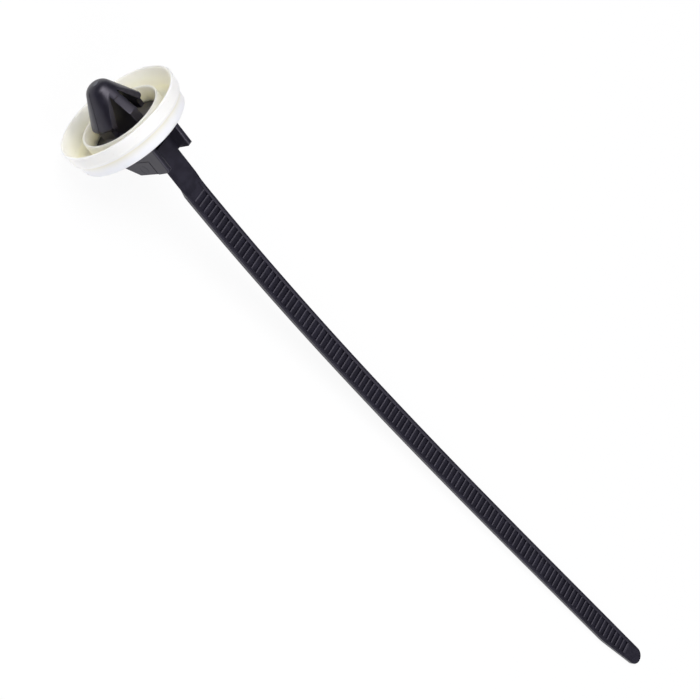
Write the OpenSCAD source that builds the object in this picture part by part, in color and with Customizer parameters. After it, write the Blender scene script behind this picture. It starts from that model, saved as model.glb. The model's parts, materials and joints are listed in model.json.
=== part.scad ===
// Push-mount cable tie with a sealing cup, lying on a flat surface with its teeth up.
// Each piece is drawn in the tie's own frame: X across the strap, Y towards the toothed side,
// Z along the arrowhead axis towards its nose, with Z = 0 at the underside of the cup.
// The lay() module then turns the whole tie down on to the surface.

/* [Strap] */
// Width of the strap
strap_w = 4.8; // [4.4:0.1:5]
// Thickness of the strap over its side rails
strap_t = 1; // [0.9:0.05:1.2]
// Width of each side rail
rail_w = 0.82; // [0.6:0.01:0.9]
// Thickness left under the ladder
floor_t = 0.5; // [0.4:0.01:0.6]
// How far the teeth stay below the rails
tooth_drop = 0.1; // [0.05:0.01:0.15]
// Length of the flat on top of each tooth
tooth_crest = 0.28; // [0.15:0.01:0.35]
// Distance from tooth to tooth
tooth_pitch = 1.37; // [1.2:0.01:1.5]
// Number of teeth
tooth_count = 103; // [60:1:120]
// Largest angle of the strap's set
set_angle = 11.4; // [4:0.1:14]
// Length over which the set grows to its largest angle
set_length = 137; // [100:1:160]
// Part of that length that lies before the first tooth
set_lead = 14.2; // [0:0.1:20]

/* [Tip] */
// Plain length after the last tooth
tip_len = 5.1; // [4:0.1:8]
// Radius of the rounded end
tip_r = 1.87; // [1.6:0.01:2]
// Length of the taper on one edge
taper_len = 9.1; // [8:0.1:14]

/* [Neck and head] */
// Width of the plain neck
neck_w = 5.15; // [4.9:0.05:5.6]
// Thickness of the neck
neck_t = 0.9; // [0.8:0.05:1.2]
// Bevel on each side of the neck, from behind
neck_bevel = 0.5; // [0.3:0.05:0.6]
// Length of the neck before it starts to turn into the strap
neck_plain = 5.6; // [4:0.1:6]
// Length over which the neck turns into the strap
neck_blend = 1.8; // [1:0.1:2.2]
// Distance from the arrowhead axis to the neck's toothed side
neck_face = 4.62; // [4.4:0.01:4.8]
// Length from the head to the first tooth
neck_len = 9.06; // [8:0.01:12]
// Width of the head
head_w = 8.1; // [7.6:0.1:8.6]
// Height of the head under the cup
head_h = 6.8; // [6.4:0.1:7.4]
// Distance from the arrowhead axis to the back of the head
head_back = 4.6; // [4.2:0.1:5.2]
// Distance from the arrowhead axis to the front of the cheeks
cheek_front = 7.65; // [7:0.05:8.2]
// Thickness of each cheek
cheek_t = 1.05; // [0.8:0.01:1.2]
// Width of the strap slot
slot_w = 5.2; // [5:0.05:5.6]
// Height of the strap slot
slot_h = 1.7; // [1.5:0.05:2]
// Width of the pawl
pawl_w = 3.1; // [2.6:0.1:3.3]

/* [Arrowhead] */
// Height of the nose above the underside of the cup
nose_z = 12.25; // [11.5:0.05:13]
// Radius of the rounding of the nose
nose_round = 2.35; // [2:0.05:2.6]
// Radius at the locking shoulders of the wings
wing_tip_r = 5.5; // [5.2:0.05:5.8]
// Radius of the rounding at the ends of the wings
wing_round = 0.55; // [0.3:0.05:0.7]
// Height of the locking shoulders
shoulder_z = 4.8; // [4.5:0.05:5]
// Width of a wing
wing_w = 6; // [5:0.1:6.2]
// Thickness of a wing at its shoulder
wing_t = 1.8; // [1.4:0.05:2]
// Radius of the guide tongues under the shoulders
tongue_r = 4.65; // [4.5:0.05:4.8]
// Height of the lower ends of the tongues
tongue_z = 2.9; // [2.6:0.05:3.4]
// Width of a tongue
tongue_w = 4; // [3:0.1:5]
// Thickness of the centre web
web_t = 2; // [1.6:0.1:2.4]
// Half the depth of the centre web at its foot
web_foot = 5; // [4.7:0.05:5.2]
// Radius of the flange that carries the cup
flange_r = 9.6; // [9:0.1:10]
// Thickness of the flange
flange_t = 0.75; // [0.6:0.05:0.9]

/* [Sealing cup] */
// Outer radius of the outer lip's rim
lip_r = 12.3; // [12:0.05:12.6]
// Height of the outer lip's rim
lip_z = 5.55; // [5:0.05:6]
// Thickness of the outer lip at its rim
lip_t = 0.52; // [0.4:0.01:0.7]
// How far the outer lip leans out from its foot to its rim
lip_flare = 1.25; // [1:0.05:1.4]
// Outer radius of the inner lip's rim
inner_r = 8.21; // [8:0.01:8.4]
// Height of the inner lip's rim
inner_z = 4.44; // [4:0.01:4.8]
// Thickness of the inner lip at its rim
inner_t = 0.44; // [0.35:0.01:0.55]
// Inner radius of the inner lip at its foot
inner_foot = 7.4; // [7.2:0.05:7.6]
// Radius of the base ring at its underside
base_r = 11.3; // [11:0.05:11.6]
// Height of the base ring, where the outer lip steps out
base_h = 2.72; // [2.4:0.01:3]
// Radius of the outer lip where it steps out
step_r = 12.03; // [11.9:0.01:12.15]
// Height of the groove floor between the lips
groove_z = 1.8; // [1.6:0.05:2.1]
// How far the soft ridge gives where the cup lies on the surface
rest_give = 0.12; // [0.05:0.01:0.2]

/* [Hidden] */
$fn = 96;
nylon_black = [0.09, 0.09, 0.11];
cup_white = [0.93, 0.92, 0.87];
eps = 0.01;
// How far joined pieces of the strap run into each other
lap = 0.1;
// Longer than any cut has to be
reach = 20;

// Flange, collar and cup seat
flange_top = 1.2;
flange_z = flange_top - flange_t;
seat_gap = 0.05;
collar_r = 5.6;
head_top = -0.35;
head_bottom = -head_h;

// Strap: its rails lie level with the neck, and the ladder is sunk between them
strap_z0 = head_bottom - neck_len;
strap_back = neck_face - strap_t;
ladder_w = strap_w - 2 * rail_w;
last_tooth = tooth_count * tooth_pitch;
end_s = last_tooth + tip_len;
taper_s = end_s - tip_r - taper_len;
tip_x = tip_r - strap_w / 2;
tip_edge = tip_x + tip_r;

function bend(s) = set_angle * sin(90 * (s + set_lead) / set_length);
// Back of the strap at every tooth, as [n, z] in the tie's frame
back = [for (i = 0, n = strap_back, z = strap_z0; i <= tooth_count + 5;
        n = n + tooth_pitch * sin(bend((i + 0.5) * tooth_pitch)),
        z = z - tooth_pitch * cos(bend((i + 0.5) * tooth_pitch)),
        i = i + 1) [n, z]];
function on_path(s) =
    let (i = min(floor(s / tooth_pitch), len(back) - 2), t = s / tooth_pitch - i)
    back[i] + t * (back[i + 1] - back[i]);
function off_path(s, h) = on_path(s) + h * [cos(bend(s)), sin(bend(s))];

// Nose: a round that runs into the straight flanks of the wings
nose_arc_z = nose_z - nose_round;
nose_arc_r = 0.45;

// Lean of the tie when the outer lip and the tip of the strap both touch the surface. The lip touches
// with its ridge, which gives a little, or with its rounded rim when that reaches lower.
ridge = 0.13;
ridge_z = base_h + 0.55;
ridge_r = step_r + ridge;
rim_round = lip_t / 2;
tip_low = off_path(end_s, 0);
tip_high = off_path(end_s, strap_t);
from_ridge = [tip_low[0] + ridge_r - rest_give, ridge_z - tip_low[1]];
from_rim = [tip_low[0] + lip_r - rim_round, lip_z - rim_round - tip_low[1]];
lean = max(atan2(from_ridge[0], from_ridge[1]),
    atan2(from_rim[0], from_rim[1]) + asin(rim_round / norm(from_rim)));
lift = -(cos(lean) * tip_low[0] + sin(lean) * tip_low[1]);
nose_reach = cos(lean) * nose_arc_z + sin(lean) * nose_arc_r + nose_round;
tip_reach = sin(lean) * tip_high[0] - cos(lean) * tip_high[1];

// Turns the tie's frame down on to the surface: the strap runs along +X, the teeth face up
module lay() {
    translate([(nose_reach - tip_reach) / 2, 0, lift]) rotate([90 - lean, 0, -90]) children();
}

// Extrudes a side profile, drawn as [n, z], across the tie
module across(width) {
    rotate([90, 0, 90]) linear_extrude(height = width, center = true) children();
}

// Cuts or fills straight through the strap along a flat outline, drawn as [x, along the strap]
module through_strap(s) {
    p = on_path(s);
    translate([0, p[0], p[1]]) rotate([bend(s) - 90, 0, 0])
        linear_extrude(height = 6 * strap_t, center = true) children();
}

function arc(c, r, a0, a1, steps) =
    [for (i = [0 : steps]) c + r * [cos(a0 + (a1 - a0) * i / steps), sin(a0 + (a1 - a0) * i / steps)]];

// Side profile of the strap over its rails
module strap_side() {
    stations = [for (i = [0 : tooth_count]) i * tooth_pitch];
    polygon(concat(
        [for (s = stations) off_path(s, 0)], [tip_low, tip_high],
        [for (i = [tooth_count : -1 : 0]) off_path(stations[i], strap_t)]));
}

// Side profile of the ladder: each tooth is steep towards the head and slopes down to the tip
module ladder_side() {
    tooth_top = strap_t - tooth_drop;
    polygon(concat(
        [for (i = [0 : tooth_count]) off_path(i * tooth_pitch, 0)],
        [off_path(last_tooth + lap, 0), off_path(last_tooth + lap, floor_t)],
        [for (i = [tooth_count - 1 : -1 : 0])
            each [off_path((i + 1) * tooth_pitch - eps, floor_t),
                off_path(i * tooth_pitch + tooth_crest, tooth_top), off_path(i * tooth_pitch, tooth_top)]]));
}

// Strap: ladder between two rails, a plain pad at the tip, one edge tapered, the end round
module strap() {
    half = strap_w / 2;
    difference() {
        union() {
            across(ladder_w + 2 * eps) ladder_side();
            for (side = [-1, 1])
                translate([side * (strap_w - rail_w) / 2, 0, 0]) across(rail_w) strap_side();
            intersection() {
                across(strap_w) strap_side();
                union() {
                    through_strap(last_tooth) translate([-strap_w, 0]) square(2 * [strap_w, tip_len]);
                    // Rail that follows the tapered edge
                    through_strap(taper_s) polygon([[half, 0], [tip_edge, taper_len],
                        [tip_edge - rail_w, taper_len], [half - rail_w, 0]]);
                }
            }
        }
        through_strap(taper_s) difference() {
            translate([-strap_w, 0]) square(2 * [strap_w, taper_len]);
            translate([tip_x, taper_len]) circle(r = tip_r);
            polygon([[-half, -1], [half, -1], [half, 0], [tip_edge, taper_len], [-half, taper_len]]);
        }
    }
}

// Neck: its sides are bevelled from behind until it turns into the strap, where a shallow recess leads
// on to the tops of the teeth
module neck() {
    plain_z = head_bottom - neck_plain;
    blend_z = plain_z - neck_blend;
    root = 1;
    back_face = neck_face - neck_t;
    floor_face = neck_face - tooth_drop;
    section = [[-neck_w / 2, neck_face], [neck_w / 2, neck_face],
        [neck_w / 2 - neck_bevel, back_face], [neck_bevel - neck_w / 2, back_face]];
    difference() {
        union() {
            translate([0, 0, plain_z]) linear_extrude(height = head_bottom + root - plain_z) polygon(section);
            hull() {
                translate([0, 0, plain_z]) linear_extrude(height = eps) polygon(section);
                translate([-strap_w / 2, strap_back, blend_z]) cube([strap_w, strap_t, eps]);
            }
            translate([-strap_w / 2, strap_back, strap_z0 - lap])
                cube([strap_w, strap_t, blend_z - strap_z0 + lap + eps]);
        }
        across(ladder_w) polygon([[neck_face, blend_z], [floor_face, blend_z - tooth_drop],
            [floor_face, strap_z0 - 1], [neck_face + 1, strap_z0 - 1], [neck_face + 1, blend_z]]);
    }
}

// Head block with its slot, pawl and the two cheeks that guide the strap in
module head() {
    slot_top = -1.6;
    slot_bottom = slot_top - slot_h;
    mouth = 1.2;
    mouth_rise = 1;
    cheek_rise = 0.2;
    cheek_cut = 0.3;
    cheek_root = 1;
    panel_step = 0.15;
    panel_top = -3.55;
    back_rise = 2.84;
    chamfer_n = -0.7;
    // Pawl and the room it bends into
    room_w = slot_w - 0.6;
    room_h = 2.2;
    room_step = 0.5;
    pawl_root = 2.2;
    pawl_tip = -3.1;
    pawl_t = 1.1;
    pawl_foot = 1.4;
    pawl_tooth = 0.45;
    pawl_slope = 0.12;
    back_cut = -head_back - 1;
    difference() {
        union() {
            across(head_w) polygon([[-head_back, head_top], [neck_face, head_top], [neck_face, head_bottom],
                [chamfer_n, head_bottom], [-head_back, head_bottom + back_rise]]);
            for (side = [-1, 1]) translate([side * (head_w - cheek_t) / 2, 0, 0]) across(cheek_t)
                polygon([[neck_face - cheek_root, head_top], [cheek_front, head_top],
                    [cheek_front, head_bottom + cheek_rise + cheek_cut],
                    [cheek_front - cheek_cut, head_bottom + cheek_rise],
                    [neck_face - cheek_root, head_bottom]]);
            translate([0, 0, head_top - eps]) cylinder(r = collar_r, h = flange_z - head_top + 2 * eps);
        }
        // Strap slot with a funnel at its mouth
        across(slot_w) polygon([[neck_face + mouth, slot_top + mouth_rise], [neck_face - mouth, slot_top],
            [back_cut, slot_top], [back_cut, slot_bottom], [neck_face - mouth, slot_bottom],
            [neck_face + mouth, slot_bottom - mouth_rise]]);
        // Room for the pawl to bend away from the strap
        across(room_w) polygon([[pawl_root, slot_bottom + eps], [pawl_root, slot_bottom - room_step],
            [pawl_root - mouth, slot_bottom - room_h], [back_cut, slot_bottom - room_h],
            [back_cut, slot_bottom + eps]]);
        // Shallow panels on the sides, behind the cheeks
        for (side = [-1, 1]) translate([side * head_w / 2, 0, 0]) across(2 * panel_step)
            polygon([[back_cut, panel_top], [neck_face, panel_top], [neck_face, head_bottom - 1],
                [back_cut, head_bottom - 1]]);
    }
    // Pawl with teeth that face up into the slot
    across(pawl_w) polygon(concat(
        [[pawl_root + pawl_tooth, slot_bottom - pawl_foot],
            [pawl_root + pawl_tooth, slot_bottom - pawl_slope]],
        [for (i = [0 : 2]) each [[(0.4 - i) * tooth_pitch, slot_bottom + pawl_slope * i],
            [(-0.6 - i) * tooth_pitch, slot_bottom + pawl_tooth + pawl_slope * i]]],
        [[pawl_tip, slot_bottom - pawl_slope], [pawl_tip + pawl_tooth, slot_bottom - pawl_t],
            [pawl_root - 1, slot_bottom - pawl_foot]]));
}

// Round flange, nose, two spring wings with a locking shoulder and the web between them
module arrowhead() {
    nose_end = 28;
    flat_top = 9.9;
    gap_top = 9.7;
    gap_foot = wing_tip_r - wing_t;
    gap_low = tongue_z - 1;
    tongue_lean = 0.3;
    web_step_z = 5.4;
    web_step = 0.15;
    panel_top = 8.8;
    panel_depth = 0.08;
    nose_side = arc([nose_arc_r, nose_arc_z], nose_round, 90, nose_end, 8);
    wing_end = arc([wing_tip_r - wing_round, shoulder_z + wing_round], wing_round, nose_end, -90, 5);
    body = concat([[0, nose_z]], nose_side, wing_end, [[0, shoulder_z]]);
    // The web leaves the flank of the nose at the top of the flats and has a sunk panel above its step
    nose_foot = nose_side[len(nose_side) - 1];
    web_crown = [nose_foot[0] + (nose_foot[1] - flat_top) * tan(nose_end), flat_top];
    web_low = [web_foot - 2 * web_step, web_step_z];
    panel_high = web_low + (web_crown - web_low) * (panel_top - web_step_z) / (flat_top - web_step_z);
    sunk = [panel_depth, 0];
    web_side = [web_crown, panel_high, panel_high - sunk, web_low - sunk,
        [web_foot - web_step, web_step_z - eps], [web_foot, flange_top - eps]];
    translate([0, 0, flange_z]) cylinder(r = flange_r, h = flange_t);
    difference() {
        union() {
            rotate_extrude() polygon(body);
            // Tongues that guide the wings in the hole
            intersection() {
                translate([0, 0, tongue_z]) cylinder(r = tongue_r, h = shoulder_z - tongue_z + 1);
                translate([-reach / 2, -tongue_w / 2, 0]) cube([reach, tongue_w, reach]);
            }
        }
        // Flats on the two sides of the wings, below the nose
        for (side = [0, 1]) mirror([0, side, 0]) translate([-reach / 2, wing_w / 2, flat_top - reach])
            cube(reach);
        // Gaps between the web and the wings, open on both sides
        for (side = [0, 1]) mirror([side, 0, 0]) rotate([90, 0, 0])
            linear_extrude(height = reach, center = true) polygon([[web_t / 2, gap_top],
                [gap_foot, shoulder_z], [gap_foot - tongue_lean, gap_low], [web_t / 2, gap_low]]);
    }
    // The web is turned like the nose and cut to a flat wall
    intersection() {
        rotate_extrude() polygon(concat([[0, flat_top]], web_side, [[0, flange_top - eps]]));
        translate([-web_t / 2, -reach / 2, 0]) cube([web_t, reach, reach]);
    }
}

module tie() {
    color(nylon_black) lay() {
        arrowhead();
        head();
        neck();
        strap();
    }
}

// Cup section: base ring round the flange, inner lip, groove and flared outer lip
module seal() {
    bore = collar_r + 0.4;
    base_round = 0.3;
    base_flare = 0.22;
    fillet = 0.5;
    lip_foot = lip_r - lip_flare;
    seat_r = flange_r + seat_gap;
    section = concat(
        [[bore, 0]],
        arc([base_r - base_round, base_round], base_round, -90, 0, 4),
        [[base_r + base_flare, base_h - ridge], [step_r, base_h], [ridge_r, ridge_z],
            [ridge_r - ridge / 2, ridge_z + ridge]],
        arc([lip_r - rim_round, lip_z - rim_round], rim_round, 0, 180, 8),
        arc([lip_foot - fillet, groove_z + fillet], fillet, 0, -90, 4),
        arc([inner_r + fillet, groove_z + fillet], fillet, -90, -180, 4),
        arc([inner_r - inner_t / 2, inner_z - inner_t / 2], inner_t / 2, 0, 180, 8),
        [[inner_foot, flange_top], [seat_r, flange_top],
            [seat_r, flange_z - seat_gap], [bore, flange_z - seat_gap]]);
    color(cup_white) difference() {
        lay() rotate_extrude(convexity = 6) polygon(section);
        // The surface, which flattens the ridge where the cup lies on it
        translate([-tip_reach, -reach, -reach]) cube([tip_reach, 2 * reach, reach]);
    }
}

tie();
seal();
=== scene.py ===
import bmesh
import bpy
import json
import math
from mathutils import Matrix, Vector


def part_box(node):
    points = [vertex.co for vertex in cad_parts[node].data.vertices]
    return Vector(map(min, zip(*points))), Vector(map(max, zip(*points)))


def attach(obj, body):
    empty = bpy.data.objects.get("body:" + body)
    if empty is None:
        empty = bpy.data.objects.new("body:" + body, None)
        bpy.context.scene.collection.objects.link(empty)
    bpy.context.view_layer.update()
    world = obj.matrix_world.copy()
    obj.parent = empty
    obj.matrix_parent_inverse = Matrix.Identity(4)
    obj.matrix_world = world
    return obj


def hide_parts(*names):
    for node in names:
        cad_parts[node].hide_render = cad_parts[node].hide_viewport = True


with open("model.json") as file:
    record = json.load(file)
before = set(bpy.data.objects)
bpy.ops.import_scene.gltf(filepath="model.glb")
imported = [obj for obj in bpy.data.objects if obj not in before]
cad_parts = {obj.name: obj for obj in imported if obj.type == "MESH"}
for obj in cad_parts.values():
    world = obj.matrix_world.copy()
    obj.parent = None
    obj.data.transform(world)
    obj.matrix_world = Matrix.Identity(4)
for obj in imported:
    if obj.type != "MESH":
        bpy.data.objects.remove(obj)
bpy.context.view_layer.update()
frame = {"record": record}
mm = 0.001

# the tie stands upright in millimetres while it is modelled: x across the strap, y to the toothed side,
# z along the arrowhead, zero at the underside of the cup. layDown puts it where the frame has it
mounts = {mount["name"]: mount for mount in frame["record"]["mounts"]}
shoulderHeight = 4.8  # the panel mount sits at the locking shoulders
noseDir = Vector(mounts["panel_hole"]["axis"])
toothDir = Vector(mounts["strap_slot"]["axis"])
layDown = Matrix((toothDir.cross(noseDir), toothDir, noseDir)).transposed().to_4x4()
layDown.translation = Vector(mounts["panel_hole"]["pos_m"]) - noseDir * shoulderHeight * mm
layDown = layDown @ Matrix.Scale(mm, 4)

# working distances in millimetres
weldGap = {"made": 0.002, "wings": 0.03, "joined": 0.006}  # points that are closer become one
near = 0.01  # close enough to count as on a line
tiny = 0.001
lap = 0.01  # how far joined pieces and cutters reach into each other
sink = 0.1  # how deep a foot stands in what carries it
past = 1.0  # how far a cutter reaches beyond what it cuts
facing = 0.9  # a normal's share along an axis, from which a face counts as looking that way


# modelling helpers

def arc(centre, radius, start, end, steps):
    angles = [math.radians(start + (end - start) * i / steps) for i in range(steps + 1)]
    return [(centre[0] + radius * math.cos(a), centre[1] + radius * math.sin(a)) for a in angles]


def vertsOf(geom):
    return [g for g in geom if isinstance(g, bmesh.types.BMVert)]


def edgesOf(geom):
    return [g for g in geom if isinstance(g, bmesh.types.BMEdge)]


def weld(bm, gap=weldGap["made"]):
    bmesh.ops.remove_doubles(bm, verts=bm.verts, dist=gap)
    bmesh.ops.recalc_face_normals(bm, faces=bm.faces)
    return bm


def soften(bm, edges, radius, steps=2, clamp=True):
    bmesh.ops.bevel(bm, geom=edges, offset=radius, offset_type="OFFSET", segments=steps, profile=0.5,
                    affect="EDGES", material=-1, clamp_overlap=clamp)
    bmesh.ops.connect_verts_nonplanar(bm, angle_limit=0.001, faces=bm.faces[:])
    return bm


def slab(outline, depth, centre=0.0, side="x", edge=0.0, steps=2):  # an outline pulled straight
    bm = bmesh.new()
    low = centre - depth / 2
    places = [(low, a, b) if side == "x" else (a, low, b) for a, b in outline]
    face = bm.faces.new([bm.verts.new(p) for p in places])
    pulled = bmesh.ops.extrude_face_region(bm, geom=[face])["geom"]
    way = Vector((depth, 0, 0)) if side == "x" else Vector((0, depth, 0))
    bmesh.ops.translate(bm, vec=way, verts=vertsOf(pulled))
    weld(bm)
    return soften(bm, bm.edges[:], edge, steps) if edge else bm


def turned(profile, steps, closed=False):  # a profile of radius and height, spun round the arrowhead axis
    bm = bmesh.new()
    verts = [bm.verts.new((r, 0, z)) for r, z in profile]
    edges = [bm.edges.new(pair) for pair in zip(verts, verts[1:])]
    if closed:
        edges.append(bm.edges.new((verts[-1], verts[0])))
    bmesh.ops.spin(bm, geom=verts + edges, cent=(0, 0, 0), axis=(0, 0, 1), angle=math.tau, steps=steps,
                   use_merge=True)
    return weld(bm)


def score(bm, place, way):  # new edges where a plane crosses the mesh
    bmesh.ops.bisect_plane(bm, geom=bm.verts[:] + bm.edges[:] + bm.faces[:], plane_co=place, plane_no=way)


def cutFlat(bm, place, way):  # takes away all beyond a plane and closes the cut
    cut = bmesh.ops.bisect_plane(bm, geom=bm.verts[:] + bm.edges[:] + bm.faces[:], clear_outer=True,
                                 plane_co=place, plane_no=way)
    bmesh.ops.contextual_create(bm, geom=edgesOf(cut["geom_cut"]))
    return weld(bm)


def sharpEdges(bm, degrees, below=100.0):  # convex edges, up to a height
    convex = [e for e in bm.edges
              if len(e.link_faces) == 2 and e.calc_face_angle_signed() > math.radians(degrees)]
    return [e for e in convex if (e.verts[0].co.z + e.verts[1].co.z) / 2 < below]


def asObject(name, bm):
    mesh = bpy.data.meshes.new(name)
    bm.to_mesh(mesh)
    bm.free()
    piece = bpy.data.objects.new(name, mesh)
    bpy.context.scene.collection.objects.link(piece)
    return piece


def combine(body, how, *tools):  # how is UNION or DIFFERENCE
    for tool in tools:
        boolean = body.modifiers.new("combine", "BOOLEAN")
        boolean.operation = how
        boolean.solver = "EXACT"
        boolean.object = tool
        evaluated = body.evaluated_get(bpy.context.evaluated_depsgraph_get())
        mesh = bpy.data.meshes.new_from_object(evaluated)
        body.modifiers.clear()
        body.data = mesh
        bpy.data.objects.remove(tool)
    return body


def cleanJoins(piece):  # merges what the joins left on top of each other, and points inside straight edges
    bm = bmesh.new()
    bm.from_mesh(piece.data)
    bmesh.ops.remove_doubles(bm, verts=bm.verts, dist=weldGap["joined"])
    bmesh.ops.dissolve_degenerate(bm, dist=weldGap["made"], edges=bm.edges)
    bmesh.ops.dissolve_verts(bm, verts=[v for v in bm.verts if len(v.link_edges) == 2])
    bmesh.ops.recalc_face_normals(bm, faces=bm.faces)
    bm.to_mesh(piece.data)
    bm.free()


# strap: one ladder cell made from a box, repeated, run out to the neck and the tip, then given its set

strapSize = {"width": 4.86, "thick": 1.0, "rail": 0.84, "floor": 0.58, "toothDrop": 0.1, "crest": 0.28,
             "pitch": 1.37, "teeth": 103, "back": 3.62, "start": -16.05, "edge": 0.07, "draft": 0.08}
crownSize = {"tooth": 0.1, "toothSteps": 4, "toothEdge": 0.05, "lip": 0.09, "inner": 0.34, "ridge": 0.1,
             "outer": 0.02}
setCurve = {"angle": 11.4, "length": 137.0, "lead": 14.2, "easeIn": 4.0, "reach": 150, "step": 0.1}
tipSize = {"length": 4.91, "radius": 1.87, "taper": 9.1, "roundTo": 84, "roundSteps": 9}
neckSize = {"width": 5.15, "thick": 0.9, "bevel": 0.5, "recess": -1.85, "plain": -3.65, "root": -10.2}
ladderHalf = strapSize["width"] / 2 - strapSize["rail"]


def toothHeight(y):  # crowned at the front, then sloping down to the tip
    s, c = strapSize, crownSize
    top = s["thick"] - s["toothDrop"]
    if y < s["crest"]:
        return top - c["tooth"] * (1 - y / s["crest"]) ** 2
    return top - (top - s["floor"]) * (y - s["crest"]) / (s["pitch"] - s["crest"])


def railFall(x):  # the rails are crowned too, and this is how far they fall away from their ridge
    s, c = strapSize, crownSize
    across = abs(x) - s["width"] / 2 + s["rail"]
    if across < c["inner"]:
        return c["lip"] * (1 - across / c["inner"])
    return c["outer"] * max(0.0, across - c["inner"] - c["ridge"]) / (s["rail"] - c["inner"] - c["ridge"])


def dropEnds(bm):  # a cell is open towards its neighbours
    ends = [f for f in bm.faces if abs(f.normal.y) > facing]
    bmesh.ops.delete(bm, geom=ends, context="FACES")


def ladderCell():
    s, c = strapSize, crownSize
    bm = bmesh.new()
    bmesh.ops.create_cube(bm, size=1.0)
    bmesh.ops.translate(bm, vec=(0, 0.5, 0.5), verts=bm.verts)
    bmesh.ops.scale(bm, vec=(s["width"], s["pitch"], s["thick"]), verts=bm.verts)
    dropEnds(bm)
    soften(bm, [e for e in bm.edges if abs(e.verts[0].co.y - e.verts[1].co.y) > s["pitch"] / 2], s["edge"])
    for v in bm.verts:  # the sides draw in a little towards the back
        if v.co.z < s["thick"] / 2:
            v.co.x *= 1 - 2 * s["draft"] / s["width"]
    for x in (ladderHalf, ladderHalf + c["inner"], ladderHalf + c["inner"] + c["ridge"]):
        for side in (-1, 1):
            score(bm, (side * x, 0, 0), (1, 0, 0))

    def toothTop():
        return [f for f in bm.faces if f.normal.z > facing and abs(f.calc_center_median().x) < ladderHalf]

    crownLines = [s["crest"] * (i + 1) / c["toothSteps"] for i in range(c["toothSteps"])]
    for y in crownLines + [s["crest"] + c["toothEdge"]]:
        top = toothTop()
        parts = {part for f in top for part in (*f.verts, *f.edges)}
        bmesh.ops.bisect_plane(bm, geom=top + list(parts), plane_co=(0, y, 0), plane_no=(0, 1, 0))
    top = toothTop()
    sunk = vertsOf(bmesh.ops.extrude_face_region(bm, geom=top)["geom"])
    bmesh.ops.delete(bm, geom=top, context="FACES")
    for v in sunk:
        v.co.z = toothHeight(v.co.y)
    bm.normal_update()
    dropEnds(bm)
    foot = [v for v in sunk if v.co.y > s["pitch"] - near]
    front = toothHeight(0) - s["floor"]
    for v in foot:  # the next tooth meets the rail here
        wall = next(e for e in v.link_edges if abs(e.other_vert(v).co.z - s["thick"]) < tiny)
        bmesh.utils.edge_split(wall, v, front / (s["thick"] - s["floor"]))
    footEdge = next(e for e in foot[0].link_edges if e.other_vert(foot[0]) is foot[1])
    riser = bmesh.ops.extrude_edge_only(bm, edges=[footEdge])["geom"]  # steep front of the next tooth
    bmesh.ops.translate(bm, vec=(0, 0, front), verts=vertsOf(riser))
    for v in bm.verts:
        if v.co.z > s["thick"] - s["edge"] - tiny:
            v.co.z -= railFall(v.co.x)
    return weld(bm)


def runOut(bm, loop, y):  # pulls an open end on to y and returns its new edges and vertices
    pulled = bmesh.ops.extrude_edge_only(bm, edges=loop)["geom"]
    verts = vertsOf(pulled)
    for v in verts:
        v.co.y = y
    return edgesOf(pulled), verts


def openEnd(bm, y):
    return [e for e in bm.edges if e.is_boundary and all(abs(v.co.y - y) < near for v in e.verts)]


def levelTop(verts):  # brings the rails and the sunk middle level
    s = strapSize
    for v in verts:
        if v.co.z > s["thick"] / 2:
            v.co.z = s["thick"] if abs(v.co.x) < ladderHalf + near else v.co.z + railFall(v.co.x)


def makeNeck(bm):
    s, n = strapSize, neckSize
    loop, verts = runOut(bm, openEnd(bm, 0), n["recess"] + s["toothDrop"])
    loop, verts = runOut(bm, loop, n["recess"])
    levelTop(verts)
    loop, verts = runOut(bm, loop, n["plain"])
    for v in verts:  # the sides widen and are bevelled from behind
        if v.co.z > s["thick"] / 2:
            v.co.x *= n["width"] / s["width"]
        else:
            v.co.x *= (n["width"] - 2 * n["bevel"]) / s["width"]
            v.co.z += s["thick"] - n["thick"]
    loop, verts = runOut(bm, loop, n["root"])
    bmesh.ops.holes_fill(bm, edges=loop, sides=0)


def makeTip(bm):
    s, t = strapSize, tipSize
    last = s["teeth"] * s["pitch"]
    roundStart = last + t["length"] - t["radius"]
    taperStart = roundStart - t["taper"]
    middle = t["radius"] - s["width"] / 2
    loop = openEnd(bm, last)
    for i in range(1, crownSize["toothSteps"] + 1):  # the plain pad starts like one more tooth
        y = s["crest"] * i / crownSize["toothSteps"]
        loop, verts = runOut(bm, loop, last + y)
        for v in verts:
            if s["floor"] < v.co.z < s["thick"] - s["toothDrop"]:
                v.co.z = toothHeight(y)
    loop, verts = runOut(bm, loop, last + s["crest"] + crownSize["inner"])
    levelTop(verts)
    loop, verts = runOut(bm, loop, roundStart)
    for v in bm.verts:  # one edge tapers and its rail follows it
        inset = max(0.0, v.co.y - taperStart) / t["taper"] * (s["width"] - 2 * t["radius"])
        if v.co.x > ladderHalf - near:
            v.co.x -= inset
        elif v.co.x > -ladderHalf:
            v.co.x -= inset * (v.co.x + ladderHalf) / (2 * ladderHalf)
    angles = [math.radians(t["roundTo"]) * i / t["roundSteps"] for i in range(t["roundSteps"] + 1)]
    for before, angle in zip(angles, angles[1:]):
        loop, verts = runOut(bm, loop, roundStart + t["radius"] * math.sin(angle))
        for v in verts:
            widest = middle + (v.co.x - middle) / math.cos(before)
            v.co.x = middle + (widest - middle) * math.cos(angle)
    bmesh.ops.holes_fill(bm, edges=loop, sides=0)


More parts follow.
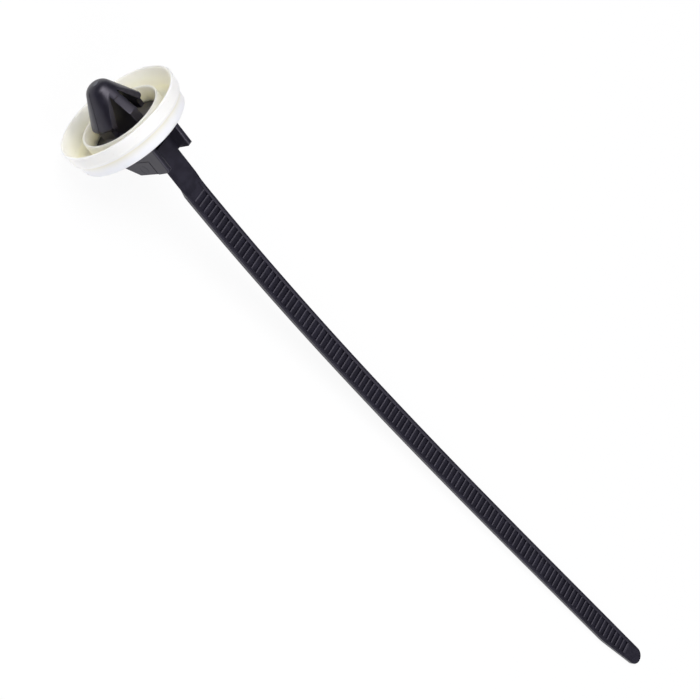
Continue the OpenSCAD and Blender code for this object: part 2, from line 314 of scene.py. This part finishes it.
def giveSet(bm):  # bends the straight strap to its moulded set
    s, c = strapSize, setCurve
    step = c["step"]

    def angleAt(y):
        grown = c["angle"] * math.sin(math.radians(90 * (max(y, 0) + c["lead"]) / c["length"]))
        return math.radians(grown * min(1.0, max(0.0, 1 + y / c["easeIn"])))

    path = [(s["back"], s["start"])]
    for i in range(int(c["reach"] / step)):
        a = angleAt((i + 0.5) * step)
        path.append((path[-1][0] + step * math.sin(a), path[-1][1] - step * math.cos(a)))
    for v in bm.verts:
        x, y, h = v.co
        a = angleAt(y)
        i = min(max(int(y / step), 0), len(path) - 2)
        t = y / step - i
        n = path[i][0] + t * (path[i + 1][0] - path[i][0]) if y > 0 else s["back"]
        z = path[i][1] + t * (path[i + 1][1] - path[i][1]) if y > 0 else s["start"] - y
        v.co = (x, n + h * math.cos(a), z + h * math.sin(a))


def makeStrap():
    s = strapSize
    bm = ladderCell()
    bmesh.ops.spin(bm, geom=bm.verts[:] + bm.edges[:] + bm.faces[:], cent=(0, 0, 0), axis=(0, 0, 1), angle=0,
                   dvec=(0, s["pitch"], 0), steps=s["teeth"] - 1, use_duplicate=True)
    weld(bm)
    makeTip(bm)
    makeNeck(bm)
    weld(bm)
    giveSet(bm)
    return asObject("strap", weld(bm))


# head: block with the strap slot, the pawl inside it and two cheeks

headSize = {"width": 8.1, "top": -0.35, "bottom": -6.8, "back": -4.6, "face": 4.62, "chamferAt": -0.7,
            "backBottom": -3.96, "edge": 0.16, "collar": 5.6}
panelSize = {"top": -3.55, "step": 0.08, "edge": 0.05, "line": 0.16, "frontLine": 0.32, "lineDepth": 0.1}
cheekSize = {"front": 7.65, "thick": 1.05, "root": 4.5, "bottom": -6.6, "cut": 0.35, "round": 0.42,
             "roundSteps": 5, "edge": 0.07, "plain": 0.1}
slotSize = {"width": 5.2, "top": -1.6, "bottom": -3.3, "mouth": 1.2, "rise": 0.3, "room": 4.6,
            "roomLip": 0.5, "roomFloor": -5.5}
pawlSize = {"width": 3.1, "root": 2.2, "tip": -3.1, "thick": 1.1, "foot": 1.4, "heel": 1.0, "teeth": 3,
            "firstTooth": 0.4, "tooth": 0.45, "slope": 0.12, "edge": 0.05}
ejectorMark = {"y": 1.45, "z": -5.5, "radius": 1.08, "groove": 0.36, "depth": 0.05, "steps": 40}


def makePawl():
    p, low, pitch = pawlSize, slotSize["bottom"], strapSize["pitch"]
    front = p["root"] + p["tooth"]
    outline = [(front, low - p["foot"]), (front, low - p["slope"])]
    for i in range(p["teeth"]):
        start, end = p["firstTooth"] - i, p["firstTooth"] - 1 - i
        outline.append((start * pitch, low + p["slope"] * i))
        outline.append((end * pitch, low + p["tooth"] + p["slope"] * i))
    outline += [(p["tip"], low - p["slope"]), (p["tip"] + p["tooth"], low - p["thick"]),
                (p["root"] - p["heel"], low - p["foot"])]
    return asObject("pawl", slab(outline, p["width"], edge=p["edge"], steps=1))


def makeCheek(side):
    h, c = headSize, cheekSize
    outline = [(c["root"], h["top"]), (c["front"], h["top"]), (c["front"], c["bottom"] + c["cut"]),
               (c["front"] - c["cut"], c["bottom"]), (c["root"], h["bottom"] + 2 * lap)]
    bm = slab(outline, c["thick"], centre=side * (h["width"] - c["thick"]) / 2)
    frontEdges = [e for e in bm.edges if all(v.co.y > c["front"] - near for v in e.verts)]
    soften(bm, [e for e in frontEdges if e.calc_length() > 2 * c["thick"]], c["round"], c["roundSteps"])
    bare = [e for e in sharpEdges(bm, degrees=40) if max(v.co.y for v in e.verts) > c["root"] + c["plain"]]
    return asObject("cheek", soften(bm, bare, c["edge"]))


def panelLine(side):  # fine groove round the top and front of the sunk side panel
    h, p = headSize, panelSize
    front, top = cheekSize["root"] + lap, p["top"] + lap
    back, low = h["back"] - past, h["bottom"] - past
    outline = [(back, top), (front, top), (front, low), (front - p["frontLine"], low),
               (front - p["frontLine"], top - p["line"]), (back, top - p["line"])]
    depth = 2 * (p["step"] + p["lineDepth"])
    return asObject("line", slab(outline, depth, centre=side * h["width"] / 2))


def makeEjectorRing():  # the groove that an ejector pin leaves on one side
    e = ejectorMark
    section = [(e["radius"], e["depth"]), (e["radius"] - e["groove"], e["depth"]),
               (e["radius"] - e["groove"] / 2, -e["depth"])]
    ring = turned(section, e["steps"], closed=True)
    onSide = Matrix.Rotation(math.radians(90), 3, "Y")
    bmesh.ops.rotate(ring, cent=(0, 0, 0), matrix=onSide, verts=ring.verts)
    surface = headSize["width"] / 2 - panelSize["step"]
    bmesh.ops.translate(ring, vec=(surface, e["y"], e["z"]), verts=ring.verts)
    return asObject("ring", ring)


def makeHead():
    h, k, p = headSize, slotSize, panelSize
    far = h["back"] - past
    block = slab([(h["back"], h["top"]), (h["face"], h["top"]), (h["face"], h["bottom"]),
                  (h["chamferAt"], h["bottom"]), (h["back"], h["backBottom"])],
                 h["width"] - 2 * p["step"], edge=h["edge"])
    head = asObject("head", block)
    back, face = h["back"] - 2 * lap, h["face"] - 2 * lap
    band = slab([(back, h["top"]), (face, h["top"]), (face, p["top"]), (back, p["top"])], h["width"],
                edge=p["edge"], steps=1)
    combine(head, "UNION", asObject("band", band))  # it stands proud of the sunk side panels
    for side in (-1, 1):
        combine(head, "UNION", makeCheek(side))
        combine(head, "DIFFERENCE", panelLine(side))
    outer, inner = h["face"] + k["mouth"], h["face"] - k["mouth"]
    mouth = slab([(outer, k["top"] + k["rise"]), (inner, k["top"]), (far, k["top"]), (far, k["bottom"]),
                  (inner, k["bottom"]), (outer, k["bottom"] - k["rise"])], k["width"])
    front, ceiling = pawlSize["root"], k["bottom"] + lap
    room = slab([(front, ceiling), (front, k["bottom"] - k["roomLip"]), (front - k["mouth"], k["roomFloor"]),
                 (far, k["roomFloor"]), (far, ceiling)], k["room"])
    combine(head, "DIFFERENCE", asObject("mouth", mouth), asObject("room", room), makeEjectorRing())
    return combine(head, "UNION", makePawl())


# arrowhead: turned nose and wings with flats, gaps and tongues, a web down the middle, a round flange

arrowSize = {"nose": 12.25, "noseRound": 2.35, "noseOff": 0.45, "noseEnd": 28, "tip": 5.5, "tipRound": 0.55,
             "wingWidth": 6.0, "wingThick": 1.8, "edge": 0.12, "edgeSteps": 3, "leanUp": 0.3, "steps": 72}
gapSize = {"top": 9.7, "floor": 1.9, "draw": 0.3, "round": 0.25, "roundSteps": 4, "length": 20}
partingLine = {"half": 0.09, "depth": 0.06, "high": 11.7, "outward": 0.5}
gateMark = {"x": 0.08, "y": 0.75, "length": 1.8, "width": 0.8, "depth": 0.4, "proud": 0.01, "taper": 0.86,
            "edge": 0.03, "lean": -8, "steps": 32}
tongueSize = {"radius": 4.65, "low": 2.9, "width": 4.0, "thick": 1.0, "draft": 0.1, "edge": 0.15}
webSize = {"thick": 2.02, "foot": 5.0, "step": 0.15, "stepAt": 5.4, "panelAt": 8.8, "panel": 0.05,
           "over": 0.004, "below": 0.1, "slope": 0.16, "edge": 0.11, "edgeSteps": 3, "edgeStop": 0.05}
flangeSize = {"radius": 9.6, "low": 0.45, "top": 1.2, "edge": 0.12, "edgeSteps": 3, "steps": 96}
noseCentre = (arrowSize["noseOff"], arrowSize["nose"] - arrowSize["noseRound"])


def gapCutter(side):
    g = gapSize
    half = webSize["thick"] / 2
    foot = arrowSize["tip"] - arrowSize["wingThick"]
    outline = [(side * half, g["top"]), (side * foot, shoulderHeight),
               (side * (foot - g["draw"]), g["floor"]), (side * half, g["floor"])]
    bm = slab(outline, g["length"], side="y")
    ridge = [e for e in bm.edges if all(abs(v.co.z - g["top"]) < near for v in e.verts)]
    return asObject("gap", soften(bm, ridge, g["round"], g["roundSteps"]))


def scoreParting(bm):  # fine groove where the mould halves met, down the outside of both wings
    p = partingLine
    for y in (-p["half"], 0, p["half"]):
        score(bm, (0, y, 0), (0, 1, 0))
    bm.normal_update()
    for v in bm.verts:
        if abs(v.co.y) < tiny and v.co.z < p["high"] and v.normal.x * v.co.x > p["outward"]:
            v.co -= v.normal * p["depth"]
    weld(bm)


def makeGate():  # flat oval left at the point of the nose where the plastic came in
    g = gateMark
    half = g["depth"] / 2
    bm = bmesh.new()
    bmesh.ops.create_cone(bm, cap_ends=True, segments=g["steps"], radius1=1.0, radius2=g["taper"],
                          depth=g["depth"])
    bmesh.ops.scale(bm, vec=(g["length"] / 2, g["width"] / 2, 1), verts=bm.verts)
    soften(bm, sharpEdges(bm, degrees=50), g["edge"])
    leaning = Matrix.Rotation(math.radians(g["lean"]), 3, "X")
    bmesh.ops.rotate(bm, cent=(0, 0, half), matrix=leaning, verts=bm.verts)
    bmesh.ops.translate(bm, vec=(g["x"], g["y"], arrowSize["nose"] + g["proud"] - half), verts=bm.verts)
    return asObject("gate", bm)


def makeWings():
    a, r = arrowSize, arrowSize["tipRound"]
    profile = [(0, a["nose"])] + arc(noseCentre, a["noseRound"], 90, a["noseEnd"], steps=12)
    profile += arc((a["tip"] - r, shoulderHeight + r), r, a["noseEnd"], -90, steps=8) + [(0, shoulderHeight)]
    bm = turned(profile, a["steps"])
    for side in (-1, 1):
        cutFlat(bm, (0, side * a["wingWidth"] / 2, 0), (0, side, 0))
    wings = asObject("wings", bm)
    combine(wings, "DIFFERENCE", gapCutter(-1), gapCutter(1))
    bm = bmesh.new()
    bm.from_mesh(wings.data)
    weld(bm, weldGap["wings"])
    bmesh.ops.dissolve_limit(bm, angle_limit=math.radians(1), verts=bm.verts, edges=bm.edges)
    flats = [e for e in sharpEdges(bm, degrees=20) if any(abs(f.normal.y) > facing for f in e.link_faces)]
    flats = [e for e in flats if any(f.normal.z > a["leanUp"] for f in e.link_faces)]
    soften(bm, flats, a["edge"], a["edgeSteps"], clamp=False)
    scoreParting(bm)
    bm.to_mesh(wings.data)
    bm.free()
    return combine(wings, "UNION", makeGate())


def makeTongue(side):
    t, top = tongueSize, shoulderHeight + past  # it reaches up into the wing
    inner = t["radius"] - t["thick"]
    outline = [(side * t["radius"], t["low"]), (side * t["radius"], top), (side * inner, top),
               (side * (inner - t["draft"]), t["low"])]
    return asObject("tongue", slab(outline, t["width"], side="y", edge=t["edge"]))


def makeWeb():  # turned like the nose, so that it runs out into it, and cut to a wall
    w, a = webSize, arrowSize
    lean = math.tan(math.radians(a["noseEnd"]))
    flankTop = arc(noseCentre, a["noseRound"], a["noseEnd"], a["noseEnd"], steps=1)[0]
    depth = a["wingWidth"] / 2 + lap
    start = (flankTop[0] + w["over"] + w["below"], flankTop[1] - w["below"] / lean)  # closes on to the nose
    crown = (depth + w["over"], flankTop[1] - (depth - flankTop[0]) / lean)
    low = (w["foot"] - 2 * w["step"], w["stepAt"])
    way = (w["panelAt"] - low[1]) / (crown[1] - low[1])
    high = low[0] + (crown[0] - low[0]) * way
    floor = flangeSize["top"] - sink
    profile = [(0, start[1]), start, crown, (high, w["panelAt"]),
               (high - w["panel"], w["panelAt"] - w["slope"]), (low[0] - w["panel"], low[1]),
               (low[0] + w["step"], low[1] - w["slope"]), (w["foot"], floor), (0, floor)]
    bm = turned(profile, a["steps"])
    for side in (-1, 1):
        cutFlat(bm, (side * w["thick"] / 2, 0, 0), (side, 0, 0))
    corners = sharpEdges(bm, degrees=50, below=crown[1] - w["edgeStop"])
    return asObject("web", soften(bm, corners, w["edge"], w["edgeSteps"], clamp=False))


def makeFlange():
    f, r, steps = flangeSize, flangeSize["edge"], flangeSize["edgeSteps"]
    collar, root = headSize["collar"], headSize["top"] - sink
    profile = [(0, root), (collar, root), (collar, f["low"])]
    profile += arc((f["radius"] - r, f["low"] + r), r, -90, 0, steps)
    profile += arc((f["radius"] - r, f["top"] - r), r, 0, 90, steps)
    return asObject("flange", turned(profile + [(0, f["top"])], f["steps"]))


def makeTie():
    tie = makeStrap()
    tie.name = "cable_tie"
    print("strap modelled:", len(tie.data.polygons), "faces")
    combine(tie, "UNION", makeHead())
    print("head fused:", len(tie.data.polygons), "faces")
    combine(tie, "UNION", makeFlange(), makeWings(), makeTongue(-1), makeTongue(1), makeWeb())
    cleanJoins(tie)
    print("arrowhead fused:", len(tie.data.polygons), "faces")
    return tie


# sealing cup: one moulding with a base ring and two lips, spun from its section

cupSize = {"bore": 6.0, "base": 11.3, "baseRound": 0.3, "baseHeight": 2.72, "baseFlare": 0.22, "step": 12.03,
           "stepRound": 0.12, "ridge": 0.13, "ridgeHeight": 3.27, "lip": 12.3, "lipHeight": 5.55,
           "lipThick": 0.52, "lipFoot": 11.05, "inner": 8.21, "innerHeight": 4.44, "innerThick": 0.44,
           "innerFoot": 7.4, "groove": 1.8, "fillet": 0.5, "seat": 9.65, "seatLow": 0.4, "steps": 160}


def makeCup():
    c = cupSize
    rim, innerRim, fillet = c["lipThick"] / 2, c["innerThick"] / 2, c["fillet"]
    low, step, ridge = c["baseRound"], c["stepRound"], c["ridge"]
    seatTop = flangeSize["top"]
    profile = [(c["bore"], 0)] + arc((c["base"] - low, low), low, -90, 0, steps=5)
    profile += [(c["base"] + c["baseFlare"], c["baseHeight"] - step)]
    profile += arc((c["step"] - step, c["baseHeight"] + step), step, -80, 0, steps=3)
    profile += [(c["step"] + ridge, c["ridgeHeight"]), (c["step"] + ridge / 2, c["ridgeHeight"] + ridge)]
    profile += arc((c["lip"] - rim, c["lipHeight"] - rim), rim, 0, 180, steps=10)
    profile += arc((c["lipFoot"] - fillet, c["groove"] + fillet), fillet, 0, -90, steps=5)
    profile += arc((c["inner"] + fillet, c["groove"] + fillet), fillet, -90, -180, steps=5)
    profile += arc((c["inner"] - innerRim, c["innerHeight"] - innerRim), innerRim, 0, 180, steps=8)
    profile += [(c["innerFoot"], seatTop), (c["seat"], seatTop), (c["seat"], c["seatLow"]),
                (c["bore"], c["seatLow"])]
    bm = turned(profile, c["steps"], closed=True)
    toTie = layDown.inverted()  # the surface flattens the ridge that the cup lies on
    cutFlat(bm, toTie @ Vector((0, 0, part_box("seal")[0].z)), toTie.to_3x3() @ Vector((0, 0, -1)))
    return asObject("sealing_cup", bm)


# finishes

def newNode(tree, kind, **values):
    made = tree.nodes.new(kind)
    for name, value in values.items():
        setattr(made, name, value)
    return made


def uprightCoords(tree):  # object coordinates turned back to the upright tie, in millimetres
    place, turn, size = layDown.inverted().decompose()
    coords = newNode(tree, "ShaderNodeTexCoord")
    mapping = newNode(tree, "ShaderNodeMapping", vector_type="POINT")
    mapping.inputs["Location"].default_value = place
    mapping.inputs["Rotation"].default_value = turn.to_euler()
    mapping.inputs["Scale"].default_value = size
    tree.links.new(coords.outputs["Object"], mapping.inputs["Vector"])
    return mapping.outputs["Vector"]


def noise(tree, coords, scale, detail=3.0, roughness=0.5):
    texture = newNode(tree, "ShaderNodeTexNoise")
    texture.inputs["Scale"].default_value = scale
    texture.inputs["Detail"].default_value = detail
    texture.inputs["Roughness"].default_value = roughness
    tree.links.new(coords, texture.inputs["Vector"])
    return texture.outputs["Fac"]


def spread(tree, value, before, after, smooth=False):  # maps the range before on to the range after
    node = newNode(tree, "ShaderNodeMapRange", interpolation_type="SMOOTHSTEP" if smooth else "LINEAR")
    for name, number in zip(("From Min", "From Max", "To Min", "To Max"), (*before, *after)):
        node.inputs[name].default_value = number
    tree.links.new(value, node.inputs["Value"])
    return node.outputs["Result"]


def sums(tree, how, *values):
    node = newNode(tree, "ShaderNodeMath", operation=how)
    for socket, value in zip(node.inputs, values):
        if isinstance(value, float):
            socket.default_value = value
        else:
            tree.links.new(value, socket)
    return node.outputs["Value"]


def vectorSums(tree, how, vector, by=(0, 0, 0)):
    node = newNode(tree, "ShaderNodeVectorMath", operation=how)
    tree.links.new(vector, node.inputs[0])
    node.inputs[1].default_value = by
    return node.outputs["Value" if how == "LENGTH" else "Vector"]


def mixColours(tree, fac, first, second):
    node = newNode(tree, "ShaderNodeMix", data_type="RGBA")
    tree.links.new(fac, node.inputs["Factor"])
    for socket, colour in ((node.inputs[6], first), (node.inputs[7], second)):  # its two colour sockets
        if isinstance(colour, tuple):
            socket.default_value = (*colour, 1)
        else:
            tree.links.new(colour, socket)
    return node.outputs[2]


def bumps(tree, height, strength, distance, under=None):
    node = newNode(tree, "ShaderNodeBump")
    node.inputs["Strength"].default_value = strength
    node.inputs["Distance"].default_value = distance
    tree.links.new(height, node.inputs["Height"])
    if under:
        tree.links.new(under, node.inputs["Normal"])
    return node.outputs["Normal"]


def newFinish(name):
    finish = bpy.data.materials.new(name)
    finish.use_nodes = True
    return finish, finish.node_tree, finish.node_tree.nodes["Principled BSDF"]


nylonLook = {"deep": (0.0058, 0.0053, 0.0108), "bloom": (0.0095, 0.0088, 0.0165), "patchScale": 0.6,
             "bloomFrom": (0.4, 0.65), "roughFrom": (0.3, 0.7), "rough": (0.3, 0.4), "specular": 0.55,
             # the gate mark's lighter grey is a painted highlight, its higher roughness the frosted plastic
             "sheen": (0.9, 0.86, 1.0), "gateScarHighlight": (0.085, 0.09, 0.105), "scarRough": 0.55,
             "scarEdge": (0.65, 0.95),
             "grainScale": 7.0, "grain": 0.12, "grainHeight": 0.00001,
             "rippleScale": 0.9, "ripple": 0.1, "rippleHeight": 0.00005}


def nearGate(tree, coords):  # one inside the oval gate mark, where the plastic is torn and frosted, and where a lighter grey is a painted highlight
    g = gateMark
    offset = vectorSums(tree, "SUBTRACT", coords, (g["x"], g["y"], arrowSize["nose"]))
    share = vectorSums(tree, "DIVIDE", offset, (g["length"] / 2, g["width"] / 2, 1.0))
    return spread(tree, vectorSums(tree, "LENGTH", share), nylonLook["scarEdge"], (1.0, 0.0), smooth=True)


def blackNylon():
    look = nylonLook
    finish, tree, shader = newFinish("black_nylon")
    coords = uprightCoords(tree)
    patches = noise(tree, coords, look["patchScale"], detail=4.0)
    bloom = spread(tree, patches, look["bloomFrom"], (0.0, 1.0), smooth=True)
    body = mixColours(tree, bloom, look["deep"], look["bloom"])
    # painted highlight: the gate mark is given a lighter grey than the rest of the nylon
    gateScarHighlight = nearGate(tree, coords)
    tree.links.new(mixColours(tree, gateScarHighlight, body, look["gateScarHighlight"]), shader.inputs["Base Color"])
    gloss = spread(tree, patches, look["roughFrom"], look["rough"])
    frosted = sums(tree, "MULTIPLY", gateScarHighlight, look["scarRough"])
    tree.links.new(sums(tree, "MAXIMUM", gloss, frosted), shader.inputs["Roughness"])
    grain = noise(tree, coords, look["grainScale"], detail=2.0)
    ripple = noise(tree, coords, look["rippleScale"], detail=2.0)
    soft = bumps(tree, ripple, look["ripple"], look["rippleHeight"])
    tree.links.new(bumps(tree, grain, look["grain"], look["grainHeight"], soft), shader.inputs["Normal"])
    shader.inputs["Specular IOR Level"].default_value = look["specular"]
    shader.inputs["Specular Tint"].default_value = (*look["sheen"], 1)
    return finish


# deep: painted shade, a darker and yellower colour towards the bottom of the cup's inside
cupLook = {"deep": (0.82, 0.775, 0.57), "inside": (0.905, 0.88, 0.735), "insideFrom": (1.4, 4.4),
           "outside": (0.925, 0.915, 0.89), "lipMiddle": 11.135, "lipLean": 0.171, "lipBlend": (-0.1, 0.1),
           "base": (0.88, 0.89, 0.93), "baseTop": (2.66, 2.8), "underTop": (0.9, 1.2),
           "dirt": (0.42, 0.33, 0.20), "speckScale": 1.6, "speckFrom": (0.68, 0.76), "speckMost": 0.5,
           "roughScale": 0.8, "roughFrom": (0.3, 0.7), "rough": (0.4, 0.55),
           "waveScale": 0.7, "wave": 0.3, "waveHeight": 0.00008,
           "glow": 1.0, "glowColour": (1.0, 0.96, 0.88), "glowDepth": 0.003}


def milkyRubber():
    look, full = cupLook, (0.0, 1.0)
    finish, tree, shader = newFinish("milky_elastomer")
    coords = uprightCoords(tree)
    split = newNode(tree, "ShaderNodeSeparateXYZ")
    tree.links.new(coords, split.inputs["Vector"])
    height = split.outputs["Z"]
    # painted shade: the inside of the cup darkens and yellows towards its bottom
    lit = spread(tree, height, look["insideFrom"], full, smooth=True)
    inside = mixColours(tree, lit, look["deep"], look["inside"])
    radius = vectorSums(tree, "LENGTH", vectorSums(tree, "MULTIPLY", coords, (1, 1, 0)))
    middle = sums(tree, "MULTIPLY_ADD", height, -look["lipLean"], -look["lipMiddle"])  # the lip leans out
    outer = spread(tree, sums(tree, "ADD", radius, middle), look["lipBlend"], full, smooth=True)
    body = mixColours(tree, outer, inside, look["outside"])
    low = spread(tree, height, look["baseTop"], (1.0, 0.0), smooth=True)
    under = spread(tree, height, look["underTop"], (1.0, 0.0), smooth=True)
    ring = sums(tree, "MAXIMUM", sums(tree, "MULTIPLY", low, outer), under)
    body = mixColours(tree, ring, body, look["base"])
    dust = noise(tree, coords, look["speckScale"], detail=5.0, roughness=0.65)
    specks = spread(tree, dust, look["speckFrom"], (0.0, look["speckMost"]), smooth=True)
    tree.links.new(mixColours(tree, specks, body, look["dirt"]), shader.inputs["Base Color"])
    patches = noise(tree, coords, look["roughScale"])
    tree.links.new(spread(tree, patches, look["roughFrom"], look["rough"]), shader.inputs["Roughness"])
    waves = noise(tree, coords, look["waveScale"])
    tree.links.new(bumps(tree, waves, look["wave"], look["waveHeight"]), shader.inputs["Normal"])
    shader.inputs["Subsurface Weight"].default_value = look["glow"]
    shader.inputs["Subsurface Radius"].default_value = look["glowColour"]
    shader.inputs["Subsurface Scale"].default_value = look["glowDepth"]
    return finish


smoothAngle = 32  # edges that turn more than this stay sharp


def dress(piece, finish, node):
    piece.data.transform(layDown)
    piece.data.materials.clear()
    piece.data.materials.append(finish)
    piece.data.shade_smooth()
    piece.data.set_sharp_from_angle(angle=math.radians(smoothAngle))
    fair = piece.modifiers.new("fair", "WEIGHTED_NORMAL")
    fair.keep_sharp = True
    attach(piece, "root")
    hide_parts(node)


tie = makeTie()
dress(tie, blackNylon(), "tie")
cup = makeCup()
dress(cup, milkyRubber(), "seal")
print("cup modelled:", len(cup.data.polygons), "faces")


# studio: pale floor, soft lamps and the photograph's camera

floorLook = {"half": 3.0, "colour": (0.88, 0.885, 0.9), "rough": 0.9, "specular": 0.1, "white": 0.92}
lamps = [
    {"name": "key", "place": (-0.45, 0.02, 0.66), "along": (1, 0, 0), "size": (0.5, 0.5), "watts": 4.8,
     "colour": (1.0, 0.985, 0.97)},
    {"name": "fill", "place": (0.30, -0.50, 0.40), "along": (1, 0, 0), "size": (0.4, 0.4), "watts": 2.2,
     "colour": (0.97, 0.975, 1.0)},
    {"name": "over", "place": (0.10, 0.21, 0.70), "along": (0.8, -0.6, 0), "size": (0.85, 0.4), "watts": 1.6,
     "colour": (0.985, 0.975, 1.0)},
    {"name": "glint", "place": (-0.29, 0.42, 0.70), "along": (1, 0, 0), "size": (0.2, 0.2), "watts": 0.15,
     "colour": (0.985, 0.975, 1.0)},
]
skyLook = {"colour": (0.93, 0.93, 1.0), "strength": 0.2, "seen": (1.0, 1.0, 1.0)}
cameraFit = {"place": (-0.14881, -0.17083, 0.30636), "right": (0.66452, 0.47707, 0.57516),
             "up": (-0.65236, 0.74576, 0.13515), "focal": 1899.82, "picture": 700, "nearest": 0.01}


def makeFloor():
    f = floorLook
    bm = bmesh.new()
    bmesh.ops.create_grid(bm, x_segments=1, y_segments=1, size=f["half"])
    bmesh.ops.translate(bm, vec=(0, 0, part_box("seal")[0].z), verts=bm.verts)
    floor = asObject("floor", bm)
    finish, tree, shader = newFinish("pale_floor")
    shader.inputs["Base Color"].default_value = (*f["colour"], 1)
    shader.inputs["Roughness"].default_value = f["rough"]
    shader.inputs["Specular IOR Level"].default_value = f["specular"]
    path = newNode(tree, "ShaderNodeLightPath")
    seen = sums(tree, "MAXIMUM", path.outputs["Is Camera Ray"], path.outputs["Is Glossy Ray"])
    white = newNode(tree, "ShaderNodeEmission")
    white.inputs["Color"].default_value = (1, 1, 1, 1)
    white.inputs["Strength"].default_value = 1.0
    mix = newNode(tree, "ShaderNodeMixShader")  # seen directly it is nearly white, with a soft shadow
    tree.links.new(spread(tree, seen, (0, 1), (0, f["white"])), mix.inputs["Fac"])
    tree.links.new(shader.outputs["BSDF"], mix.inputs[1])
    tree.links.new(white.outputs["Emission"], mix.inputs[2])
    tree.links.new(mix.outputs["Shader"], tree.nodes["Material Output"].inputs["Surface"])
    floor.data.materials.append(finish)


def makeLamps():
    for lamp in lamps:
        light = bpy.data.lights.new(lamp["name"], "AREA")
        light.shape = "RECTANGLE"
        light.size, light.size_y = lamp["size"]
        light.energy = lamp["watts"]
        light.color = lamp["colour"]
        holder = bpy.data.objects.new(lamp["name"], light)
        back = Vector(lamp["place"]).normalized()
        across = back.cross(Vector(lamp["along"])).normalized()
        turn = Matrix((across.cross(back), across, back)).transposed().to_4x4()
        holder.matrix_world = Matrix.Translation(lamp["place"]) @ turn
        bpy.context.scene.collection.objects.link(holder)


def makeSky():
    sky = bpy.data.worlds.new("studio")
    bpy.context.scene.world = sky
    sky.use_nodes = True
    tree = sky.node_tree
    ground = tree.nodes["Background"]
    path = newNode(tree, "ShaderNodeLightPath")
    seen = path.outputs["Is Camera Ray"]
    tree.links.new(mixColours(tree, seen, skyLook["colour"], skyLook["seen"]), ground.inputs["Color"])
    tree.links.new(spread(tree, seen, (0, 1), (skyLook["strength"], 1.0)), ground.inputs["Strength"])


def makeCamera():
    c = cameraFit
    right, up = Vector(c["right"]).normalized(), Vector(c["up"]).normalized()
    back = right.cross(up).normalized()
    up = back.cross(right)
    lens = bpy.data.cameras.new("camera")
    lens.sensor_fit = "HORIZONTAL"
    lens.angle = 2 * math.atan(c["picture"] / 2 / c["focal"])
    lens.clip_start = c["nearest"]
    camera = bpy.data.objects.new("camera", lens)
    bpy.context.scene.collection.objects.link(camera)
    camera.matrix_world = Matrix.Translation(c["place"]) @ Matrix((right, up, back)).transposed().to_4x4()
    bpy.context.scene.camera = camera


makeFloor()
makeLamps()
makeSky()
makeCamera()
bpy.context.scene.view_settings.view_transform = "Standard"
print("studio set")
